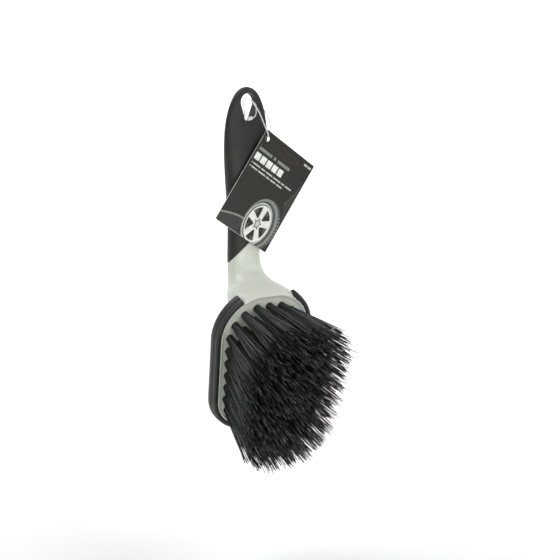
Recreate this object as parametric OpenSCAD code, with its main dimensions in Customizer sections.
// Wheel brush: a one-piece plastic body with a soft grip and bumper moulded on, sixty
// stapled tufts of bristle in a flared head, and a card tag on a clear nylon loop.
// Millimetres. +Z runs up the handle, -Y is the bristle side, +X is to the right when
// the bristles face you. The origin is the middle of the hang hole.

/* [Handle] */
// Height of the handle's top above the middle of the hang hole
handle_top = 15; // [13:0.5:20]
// Width of the handle at its widest
grip_width = 36; // [30:1:44]
// Thickness of the handle where the palm holds it
grip_thickness = 17; // [14:1:22]
// Thickness of the handle at the hang hole
hang_thickness = 9.4; // [7:0.2:12]
// Width of the handle at the neck
neck_width = 26; // [22:1:32]
// Least thickness of rubber over the plastic tang
skin = 1.8; // [1.5:0.1:2.2]
// Height at which the rubber stops, on the middle of the handle
grip_end = -106; // [-110:1:-90]
// Slope of the rubber's slanted lower edge across the handle, in degrees
grip_end_slope = 40; // [0:1:42]
// Slope of the same edge from the front to the back, in degrees
grip_end_rake = 24; // [0:1:25]

/* [Hang hole] */
// Diameter of the hang hole's round top
hang_hole_d = 13.8; // [10:0.2:15]
// Diameter of the hang hole's narrow foot
hang_foot_d = 8; // [5:0.2:10]
// Height of the hang hole from top to foot
hang_hole_h = 20.8; // [17:0.2:22]
// Thickness of the rubber that lines the hang hole
hang_lining = 1.5; // [1:0.1:1.8]

/* [Head] */
// Distance of the head's face in front of the handle's middle plane
head_forward = 30; // [26:1:36]
// Distance of the head's middle below the hang hole
head_drop = 188; // [184:1:200]
// Tilt of the head's face from the handle, in degrees
head_tilt = 14.3; // [8:0.1:20]
// Radius of the head's upper corners
upper_r = 32.4; // [28:0.2:36]
// Radius of the head's lower corners
lower_r = 27.4; // [24:0.2:30]
// Height of the upper corners' centres above the head's middle
upper_v = 22; // [18:1:28]
// Depth of the lower corners' centres below the head's middle
lower_v = 30; // [26:1:40]
// Distance of each corner's centre from the middle line
corner_u = 5; // [3:0.5:10]
// Thickness of the head block at its middle
block_t = 20; // [17:0.5:24]
// Thickness of the head block at its rim
rim_t = 12; // [11:0.5:14]
// Width of the rounding between the rim and the flat back
back_round = 16; // [12:1:20]
// Depth of the shallow recess that the tufts stand in
face_recess = 1.1; // [0.3:0.1:1.4]

/* [Bumper] */
// How far the bumper stands out beyond the head's rim
bumper_proud = 4.2; // [3.5:0.1:7]
// Width of the bumper from its front to its back
bumper_w = 11; // [10:0.5:12]
// Depth of the rib that keys the bumper into the rim
key_depth = 2; // [1.5:0.1:2.5]
// Width of that rib
key_w = 4; // [3:0.2:5]
// Angle between the bumper's ends and the head's middle line, in degrees
bumper_gap = 32; // [20:1:45]

/* [Bristles] */
// Diameter of each tuft hole
hole_d = 5.6; // [4.5:0.1:6]
// Depth of each tuft hole
hole_depth = 10; // [8:0.5:11]
// Length of the bristles beyond the head's face
bristle_h = 56; // [35:1:70]
// Diameter of a tuft's end
tip_d = 9.4; // [7:0.1:10]
// Distance of the outer ring of tufts from the rim
ring_inset = 7.4; // [7:0.1:9]
// Distance from one ring of tufts to the next
ring_step = 9.5; // [9:0.1:10]
// How far all the rings sit below the middle of the head's outline
ring_drop = 2; // [0:0.1:2.2]
// Sideways spread: where a tuft ends, as a multiple of where it starts
spread_u = 1.32; // [1.2:0.01:1.6]
// Lengthways spread, measured the same way
spread_v = 1.14; // [1.1:0.01:1.4]
// How far the tufts' ends lean down towards the head's foot
lean_v = 1; // [0:1:16]
// Thickness of the flat wire anchors
anchor_t = 0.5; // [0.4:0.1:0.8]
// Height of the flat wire anchors
anchor_h = 2.2; // [1.5:0.1:2.5]
// How far each anchor bites into the plastic at either end
anchor_bite = 0.7; // [0.4:0.1:0.9]

/* [Tag] */
// Width of the card tag
tag_w = 52; // [40:1:60]
// Length of the card tag
tag_l = 78; // [60:1:90]
// Thickness of the card
tag_t = 0.5; // [0.4:0.1:0.8]
// Diameter of the hole punched in the tag's corner
tag_hole_d = 4; // [3.5:0.1:5]
// Distance of that hole from the card's long edge
tag_hole_side = 4.2; // [3.5:0.1:6]
// Distance of that hole from the card's top edge
tag_hole_top = 5.8; // [4:0.1:7]
// Diameter of the nylon loop
loop_d = 1; // [0.8:0.1:1.2]
// Diameter of the little barrel that locks the loop's ends together
lock_d = 2.8; // [2.4:0.1:3]

/* [Hidden] */
// Counts of tufts: the outer, second and third rings, then the row in the middle
OUTER_TUFTS = 25;
SECOND_TUFTS = 19;
THIRD_TUFTS = 13;
CENTRE_TUFTS = 3;
centre_pitch = 11;
centre_top = 13;

function two(n) = str(n < 10 ? "0" : "", n);
function outer_name(i) = str("tuft_outer_", two(i + 1));

fine = 96;     // $fn of the round cuts
over = 1;      // how far a cut runs past the face that it opens

// ---- Handle and neck: one smooth form, swept down the handle and into the head ----

dome_z = -23;            // height at which the handle is widest
waist_z = -98;           // height at which it has narrowed to the neck
edge_r = 5;              // rounding of the handle's top edge
roundness = 2.6;         // 2 is an ellipse, more is squarer

function ease(t) = let (c = max(0, min(1, t))) c * c * (3 - 2 * c);
function mix(a, b, t) = a + (b - a) * t;

// Half the handle's width at a height
function half_w(z) = z > dome_z
    ? grip_width / 2 * sqrt(max(0, 1 - pow((z - dome_z) / (handle_top - dome_z), 2)))
    : mix(grip_width, neck_width, ease((dome_z - z) / (dome_z - waist_z))) / 2;

// Half the handle's thickness at a height
function half_t(z) =
    let (middle = mix(hang_thickness, grip_thickness, ease(-(z + 4) / 46)) / 2,
         top = handle_top - edge_r)
    z > top ? middle * sqrt(max(0, 1 - pow((z - top) / edge_r, 2))) : middle;

// An arc as points: its centre, radius, first and last angles, and steps
function turn(x, y, r, from, to, steps) =
    [for (i = [0:steps]) let (a = mix(from, to, i / steps)) [x + r * cos(a), y + r * sin(a)]];

// Turns a point of the head (across, up the face, out of the face) into the brush's frame
function from_head(p) = [p.x,
    -head_forward - p.y * sin(head_tilt) - p.z * cos(head_tilt),
    -head_drop + p.y * cos(head_tilt) - p.z * sin(head_tilt)];

// The neck's stations: [front y, front z, back y, back z, half width]. The first is where the
// straight handle ends, and the last two are tied to the head that they run into.
neck_z = -104;
bend_front = neck_z - 22.5;      // heights at which the neck turns forward to the head
bend_back = neck_z - 33;
lip = from_head([0, upper_v + upper_r, -0.6]);
foot = from_head([0, upper_v - 2, -block_t + 1.5]);
shoulder = from_head([0, upper_v + upper_r + 1, -6.5]);
heel = from_head([0, upper_v + 12, -block_t - 4]);
NECK = [
    [-half_t(neck_z), neck_z, half_t(neck_z), neck_z, half_w(neck_z)],
    [-grip_thickness / 2 - 0.3, neck_z - 9, grip_thickness / 2 - 0.2, neck_z - 11, neck_width / 2],
    [-grip_thickness / 2 - 3, neck_z - 17, grip_thickness / 2 - 2, neck_z - 22,
        neck_width / 2 + 0.8],
    [mix(-grip_thickness / 2, shoulder.y, 0.42), bend_front, grip_thickness / 2 - 6, bend_back,
        neck_width / 2 + 3.5],
    [mix(-grip_thickness / 2, shoulder.y, 0.75), mix(bend_front, shoulder.z, 0.55),
        mix(grip_thickness / 2 - 6, heel.y, 0.5), mix(bend_back, heel.z, 0.5),
        neck_width / 2 + 9.5],
    [shoulder.y, shoulder.z, heel.y, heel.z, upper_r - 6.5],
    [lip.y, lip.z, foot.y, foot.z, upper_r - 5],
];

// A smooth curve through the stations
function spline(a, b, c, d, t) =
    (2 * b + (c - a) * t + (2 * a - 5 * b + 4 * c - d) * t * t
        + (3 * b - a - 3 * c + d) * t * t * t) / 2;
function neck_at(s) =
    let (n = len(NECK), i = min(n - 2, floor(s)), t = s - i)
    spline(NECK[max(0, i - 1)], NECK[i], NECK[i + 1], NECK[min(n - 1, i + 2)], t);

handle_rings = 30;
neck_steps = 4;          // rings from one station of the neck to the next
round_steps = 32;        // points round each ring

// Heights of the handle's rings, closer together towards the domed top
function ring_z(i) = let (t = i / handle_rings)
    handle_top - 0.02 - (handle_top - neck_z) * (0.25 * t + 0.75 * t * t);

STATIONS = concat(
    [for (i = [0:handle_rings - 1]) let (z = ring_z(i))
        [-half_t(z), z, half_t(z), z, half_w(z)]],
    [for (k = [0:(len(NECK) - 1) * neck_steps]) neck_at(k / neck_steps)]);

function power(a, p) = sign(a) * pow(abs(a), p);
function ring(s) = [for (k = [0:round_steps - 1])
    let (a = 360 * k / round_steps,
         across = s[4] * power(cos(a), 2 / roundness),
         through = (1 - power(sin(a), 2 / roundness)) / 2)
    [across, mix(s[2], s[0], through), mix(s[3], s[1], through)]];

module skin_of_rings(rings, sides) {
    n = len(rings);
    points = [for (r = rings) each r];
    walls = [for (i = [0:n - 2], k = [0:sides - 1])
        let (a = i * sides + k, b = i * sides + (k + 1) % sides)
        each [[a, b, b + sides], [a, b + sides, a + sides]]];
    first = [for (k = [sides - 1:-1:0]) k];
    last = [for (k = [0:sides - 1]) (n - 1) * sides + k];
    polyhedron(points, concat(walls, [first, last]));
}

module handle_form() {
    skin_of_rings([for (s = STATIONS) ring(s)], round_steps);
}

// ---- Hang hole ----

hole_top_z = hang_hole_h / 2 - hang_hole_d / 2;
hole_foot_z = -hang_hole_h / 2 + hang_foot_d / 2;

// The egg-shaped outline of the hang hole, grown by g
module hang_outline(g = 0) {
    r1 = hang_hole_d / 2 + g;
    r2 = hang_foot_d / 2 + g;
    a = asin((r1 - r2) / (hole_top_z - hole_foot_z));
    polygon(concat(
        turn(0, hole_top_z, r1, -a, 180 + a, fine / 2),
        turn(0, hole_foot_z, r2, 180 + a, 360 - a, fine / 3)));
}

// Extrudes a shape drawn across and up the handle, thick through it
module through_handle(thick) {
    rotate([90, 0, 0]) translate([0, 0, -thick / 2]) linear_extrude(thick) children();
}

module hang_hole(g = 0) {
    through_handle(grip_thickness * 2) hang_outline(g);
}

// ---- Tang: the flat plastic core that the rubber is moulded over ----

inset = skin + 0.2;      // how far the tang's outline lies inside the handle's
tang_rings = 24;
tang_end = grip_end - 16;  // the tang runs on into the plastic of the neck

function tang_edge(z) = z > dome_z
    ? (grip_width / 2 - inset)
        * sqrt(max(0, 1 - pow((z - dome_z) / (handle_top - inset - dome_z), 2)))
    : half_w(z) - inset;

module tang_outline() {
    zs = [for (i = [0:tang_rings]) mix(handle_top - inset, tang_end, pow(i / tang_rings, 2))];
    right = [for (z = zs) [tang_edge(z), z]];
    polygon(concat(right, [for (i = [len(right) - 1:-1:1]) [-right[i].x, right[i].y]]));
}

module tang() {
    difference() {
        through_handle(hang_thickness - 2 * skin - 1) tang_outline();
        hang_hole(hang_lining);
    }
    // A thicker spine stiffens the tang below the hang hole
    spine_top = -hang_hole_h / 2 - 16;
    spine_w = neck_width - 2 * skin - 6;
    translate([0, 0, (spine_top + tang_end) / 2])
        cube([spine_w, grip_thickness - 2 * skin - 3, spine_top - tang_end], center = true);
}

// Everything above the rubber's slanted lower edge
module above_grip_end() {
    block = 400;
    translate([0, 0, grip_end]) rotate([-grip_end_rake, -grip_end_slope, 0])
        translate([-block / 2, -block / 2, 0]) cube(block);
}

// ---- Head: its outline, the rails along its rim, and the rows of tufts ----

corner_gap = upper_v + lower_v;
tangent = 90 - acos((lower_r - upper_r) / corner_gap);    // slope of the head's sides
side_l = sqrt(pow(corner_gap, 2) - pow(upper_r - lower_r, 2));
corner_step = 7;         // degrees from one point of a corner to the next

// Places children in the head's own frame: X across, Y up the face, Z out of the face
module at_head() {
    translate(from_head([0, 0, 0])) rotate([90 + head_tilt, 0, 0]) children();
}

// One corner of the rim, as stations: [centre u, centre v, radius, angle]
function corner(v, r, from, to) =
    let (n = ceil((from - to) / corner_step))
    [for (i = [0:n]) [corner_u, v, r, mix(from, to, i / n)]];
function other_side(path) =
    [for (i = [len(path) - 1:-1:0]) let (q = path[i]) [-q[0], q[1], q[2], 180 - q[3]]];

// The rim from an angle off the middle line at the top, round the foot, to the same angle
function rim(gap = 0) =
    let (half = concat(corner(upper_v, upper_r, 90 - gap, tangent),
        corner(-lower_v, lower_r, tangent, -90)))
    concat(half, other_side(half));

// A point g outside the rim at a station, d out of the face
function off_rim(q, g, d) =
    [q[0] + (q[2] + g) * cos(q[3]), q[1] + (q[2] + g) * sin(q[3]), d];

// The head's outline, grown by g, d out of the face
function outline(g, d) = [for (q = rim()) off_rim(q, g, d)];

// Sweeps a section (X outwards, Y out of the face) round the rim, leaving a gap at the top
module rail(section, gap) {
    skin_of_rings([for (q = rim(gap)) [for (s = section) off_rim(q, s.x, s.y)]], len(section));
}

module head_block() {
    steps = 6;
    profile = concat([for (i = [steps:-1:0]) let (a = 90 * i / steps)
        [back_round * (cos(a) - 1), -rim_t - (block_t - rim_t) * sin(a)]], [[0, 0]]);
    skin_of_rings([for (p = profile) outline(p.x, p.y)], len(rim()));
}

// The keel that keys the bumper into the rim, from its front edge to its back edge
bumper_front = 0.5;
recess_border = 1.6;     // width of the rim left standing round the face's recess
KEEL = [[-key_depth, -bumper_w / 2 + key_w / 2], [0, bumper_front - 0.7],
    [0, -bumper_w], [-key_depth, -bumper_w / 2 - key_w / 2]];

// The same keel as a cut that runs out past the rim
KEEL_CUT = [KEEL[0], KEEL[1], [over, KEEL[1].y], [over, KEEL[2].y], KEEL[2], KEEL[3]];

// A broad band with a slimmer bead along its front edge, a groove between them, and the keel
bead = 3.6;
band_r = 3;
BUMPER_SECTION = concat(
    [KEEL[0], KEEL[1]],
    turn(bumper_proud - bead / 2 - 0.5, bumper_front - bead / 2, bead / 2, 100, -40, 5),
    [[bumper_proud - 0.9, bumper_front - bead - 0.3]],
    turn(bumper_proud - 1.2, bumper_front - bead - 2, 1.2, 50, 0, 2),
    turn(bumper_proud - band_r, -bumper_w + band_r, band_r, 0, -90, 4),
    [KEEL[2], KEEL[3]]);

// A point at a distance s along one side of a row of tufts, which lies g inside the rim. The
// distance starts at the middle of the head's top and ends at the middle of its foot.
function row_parts(g) = [corner_u, (upper_r - g) * (90 - tangent) * PI / 180,
    side_l,
    (lower_r - g) * (90 + tangent) * PI / 180, corner_u];
function total(v, n) = n == 0 ? 0 : v[n - 1] + total(v, n - 1);
function row_point(s, g) =
    let (p = row_parts(g), r1 = upper_r - g, r2 = lower_r - g,
         a1 = total(p, 1), a2 = total(p, 2), a3 = total(p, 3), a4 = total(p, 4))
    s < a1 ? [s, upper_v + r1] :
    s < a2 ? let (a = 90 - (s - a1) / r1 * 180 / PI)
        [corner_u + r1 * cos(a), upper_v + r1 * sin(a)] :
    s < a3 ? [corner_u + r1 * cos(tangent) + (s - a2) * sin(tangent),
        upper_v + r1 * sin(tangent) - (s - a2) * cos(tangent)] :
    s < a4 ? let (a = tangent - (s - a3) / r2 * 180 / PI)
        [corner_u + r2 * cos(a), -lower_v + r2 * sin(a)] :
    [corner_u - (s - a4), -lower_v - r2];

// The places of n tufts, evenly spaced round a row
function row(n, g) =
    let (half = total(row_parts(g), 5))
    [for (i = [0:n - 1]) let (s = 2 * half * i / n)
        let (p = row_point(min(s, 2 * half - s), g)) [s <= half ? p.x : -p.x, p.y - ring_drop]];

OUTER = row(OUTER_TUFTS, ring_inset);
SECOND = row(SECOND_TUFTS, ring_inset + ring_step);
THIRD = row(THIRD_TUFTS, ring_inset + 2 * ring_step);
CENTRE = [for (i = [0:CENTRE_TUFTS - 1]) [0, centre_top - ring_drop - i * centre_pitch]];

// Places children at a tuft, with Z along its bristles
module at_tuft(p) {
    d = [(spread_u - 1) * p.x, (spread_v - 1) * p.y - lean_v, bristle_h];
    at_head() translate([p.x, p.y, 0])
        rotate([0, acos(d.z / norm(d)), atan2(d.y, d.x)]) rotate([0, 0, -atan2(d.y, d.x)])
        children();
}

module tuft_hole(p) {
    at_tuft(p) translate([0, 0, -hole_depth]) cylinder(d = hole_d, h = hole_depth + 4, $fn = fine);
}

anchor_rest = 1.2;       // bristle folded under each anchor

module anchor(p) {
    at_tuft(p) translate([0, 0, -hole_depth + anchor_rest + anchor_h / 2])
        cube([hole_d + 2 * anchor_bite, anchor_t, anchor_h], center = true);
}

// A bundle that is folded over its anchor in the hole and fans out to its end
module tuft(p) {
    difference() {
        at_tuft(p) union() {
            translate([0, 0, -hole_depth]) cylinder(d = hole_d, h = hole_depth + over, $fn = fine);
            translate([0, 0, over])
                cylinder(d1 = hole_d, d2 = tip_d, h = bristle_h - over, $fn = fine);
        }
        anchor(p);
    }
}

// ---- Tag and loop ----

tag_hole = [12, -11.4, -22.8];     // middle of the punched hole, as the tag hangs
tag_hang = atan((tag_w / 2 - tag_hole_side) / (tag_l / 2 - tag_hole_top));    // hangs plumb

// The loop's route. It leaves the lock, runs up inside the hang hole, passes through it to the
// back, comes round the handle's right edge to the front, turns through the tag's hole, and
// runs up over the handle and back down through the hang hole to the lock.
ROUTE = [
    [1.5, -6.5, -7.7], [2.75, -6.55, -7.35], [3.9, -6.4, -6.3], [4.7, -6.1, -4.6], [5.3, -5.5, -2],
    [5.6, -4.4, 0.8], [5.6, -2.2, 3.2], [5.4, 0.6, 4.6], [5.8, 3.6, 5], [7.6, 6.2, 4.9],
    [10.6, 7.2, 4.2], [13.6, 6.2, 2.6], [15.7, 3.6, 0], [17, -0.2, -4.2], [17.6, -3.8, -9],
    [17.2, -6.8, -13.6], [15.6, -8.6, -17.2], [13.9, -9.1, -19.8], [12.8, -9.8, -21.5],
    [12, -11.4, -22.1], [11.6, -13.1, -21.4], [11.2, -13.8, -19.4], [10.2, -13, -16.2],
    [9, -11.7, -12.5], [7.6, -10.3, -8.2], [6, -9, -3.8], [3.8, -7.4, 0.5], [1.2, -5.4, 4.4],
    [-1.6, -3.8, 6.2], [-3.8, -3, 4.4], [-4.2, -3.2, 0.6], [-4, -4.4, -3], [-4.4, -5.7, -5.4],
    [-5, -6.3, -7.1], [-4.8, -6.5, -8.5], [-3.7, -6.4, -9.2], [-2.3, -6.3, -8.7],
];
loop_substeps = 2;
loop_sides = 8;

lock_from = ROUTE[len(ROUTE) - 1];
lock_dir = (ROUTE[0] - lock_from) / norm(ROUTE[0] - lock_from);

function unit(v) = v / norm(v);
function along_route(s) =
    let (n = len(ROUTE), i = min(n - 2, floor(s)), t = s - i)
    spline(ROUTE[max(0, i - 1)], ROUTE[i], ROUTE[i + 1], ROUTE[min(n - 1, i + 2)], t);
STRAND = [for (k = [0:(len(ROUTE) - 1) * loop_substeps]) along_route(k / loop_substeps)];
AHEAD = [for (i = [0:len(STRAND) - 1])
    i == 0 || i == len(STRAND) - 1 ? lock_dir : unit(STRAND[i + 1] - STRAND[i - 1])];
function square_to(n, t) = unit(n - (n * t) * t);
ASIDE = [for (i = 0, n = square_to([0, 0, 1], AHEAD[0]); i < len(STRAND);
    i = i + 1, n = i < len(STRAND) ? square_to(n, AHEAD[i]) : n) n];

module loop_tube() {
    skin_of_rings([for (i = [0:len(STRAND) - 1])
        let (n = ASIDE[i], b = cross(AHEAD[i], n))
        [for (k = [0:loop_sides - 1]) let (a = -360 * k / loop_sides)
            STRAND[i] + loop_d / 2 * (cos(a) * n + sin(a) * b)]], loop_sides);
}

// ---- The pieces ----

module body() {
    color([0.82, 0.84, 0.79]) difference() {
        union() {
            difference() {
                handle_form();
                above_grip_end();
            }
            tang();
            at_head() head_block();
        }
        at_head() translate([0, 0, -face_recess]) linear_extrude(bristle_h)
            polygon([for (p = outline(-recess_border, 0)) [p.x, p.y]]);
        at_head() rail(KEEL_CUT, bumper_gap);
        for (p = concat(OUTER, SECOND, THIRD, CENTRE)) {
            tuft_hole(p);
            anchor(p);
        }
    }
}

module grip() {
    color([0.2, 0.2, 0.2]) difference() {
        intersection() {
            handle_form();
            above_grip_end();
        }
        tang();
        hang_hole();
    }
}

module bumper() {
    color([0.24, 0.24, 0.23]) at_head() rail(BUMPER_SECTION, bumper_gap);
}

module tufts(places) {
    color([0.12, 0.12, 0.13]) for (p = places) tuft(p);
}

module anchors(places) {
    color([0.7, 0.7, 0.68]) for (p = places) anchor(p);
}

module tag() {
    color([0.17, 0.17, 0.14]) translate(tag_hole) rotate([0, tag_hang, 0]) difference() {
        translate([-tag_hole_side, -tag_t / 2, tag_hole_top - tag_l]) cube([tag_w, tag_t, tag_l]);
        rotate([90, 0, 0]) cylinder(d = tag_hole_d, h = 4 * tag_t, center = true, $fn = fine);
    }
}

module tag_loop() {
    color([0.9, 0.92, 0.92]) loop_tube();
}

// A little barrel with a groove round its middle, between the loop's two ends
module loop_lock() {
    r = lock_d / 2;
    h = norm(ROUTE[0] - lock_from);
    bevel = 0.4;
    color([0.9, 0.92, 0.92]) translate(lock_from)
        rotate([0, acos(lock_dir.z), atan2(lock_dir.y, lock_dir.x)])
        rotate_extrude($fn = fine)
        polygon([[0, 0], [r - bevel, 0], [r, bevel], [r, h / 2 - bevel], [r - bevel / 2, h / 2],
            [r, h / 2 + bevel], [r, h - bevel], [r - bevel, h], [0, h]]);
}

body();
grip();
bumper();
for (i = [0:OUTER_TUFTS - 1])
    tufts([OUTER[i]]);
tufts(SECOND);  // tufts_second_ring
tufts(THIRD);  // tufts_third_ring
tufts(CENTRE);  // tufts_centre_row
anchors(OUTER);  // anchors_outer_ring
anchors(SECOND);  // anchors_second_ring
anchors(THIRD);  // anchors_third_ring
anchors(CENTRE);  // anchors_centre_row
tag();
tag_loop();
loop_lock();
